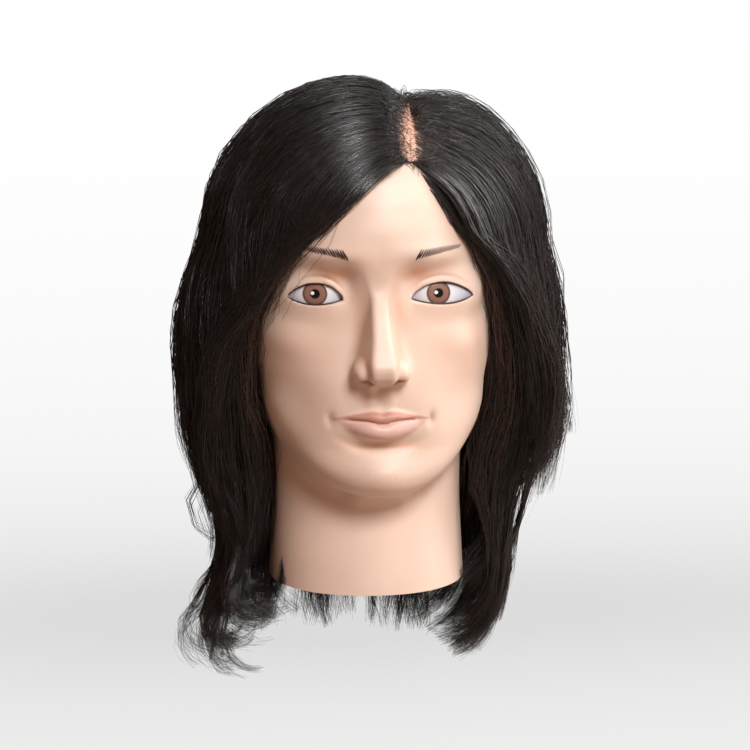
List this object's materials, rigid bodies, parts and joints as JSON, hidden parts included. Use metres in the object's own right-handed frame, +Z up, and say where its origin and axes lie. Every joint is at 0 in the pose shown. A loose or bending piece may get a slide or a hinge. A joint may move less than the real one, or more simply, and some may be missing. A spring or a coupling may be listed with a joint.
{
  "type": "mannequin training head",
  "caption": "Hairdresser's mannequin head: moulded vinyl face and neck over a foam core, shoulder-length hair in rooted sections, and a clamp socket in the neck.",
  "frame": {"origin": "middle of the clamp socket's mouth, in the plane of the neck base's underside; hair hangs below it", "axes": "+Z up along the neck to the crown, the face looks along -Y, +X is to the right of someone who faces it"},
  "size_m": [0.2455, 0.2305, 0.3673],
  "materials": {
    "vinyl": "satin moulded soft vinyl, face details painted",
    "adhesive": "brushed latex adhesive",
    "foam": "rigid polyurethane foam",
    "socket_plastic": "moulded, satin",
    "base_plastic": "moulded, fine grain",
    "screw_steel": "zinc plated",
    "hair": "glossy black-brown hair"
  },
  "bodies": {
    "root": {"vinyl_skin": "vinyl", "root_seal_layer": "adhesive", "foam_core": "foam", "clamp_socket": "socket_plastic", "neck_base_plate": "base_plastic", "base_screw_1": "screw_steel", "base_screw_2": "screw_steel", "base_screw_3": "screw_steel", "base_screw_4": "screw_steel", "hair_crown": "hair", "hair_fringe_left": "hair", "hair_fringe_right": "hair", "hair_upper_side_left": "hair", "hair_upper_side_right": "hair", "hair_upper_back_side_left": "hair", "hair_upper_back_side_right": "hair", "hair_upper_back_middle_left": "hair", "hair_upper_back_middle_right": "hair", "hair_under_side_left": "hair", "hair_under_side_right": "hair", "hair_under_back_side_left": "hair", "hair_under_back_side_right": "hair", "hair_under_back_middle_left": "hair", "hair_under_back_middle_right": "hair"}
  },
  "joints": []
}
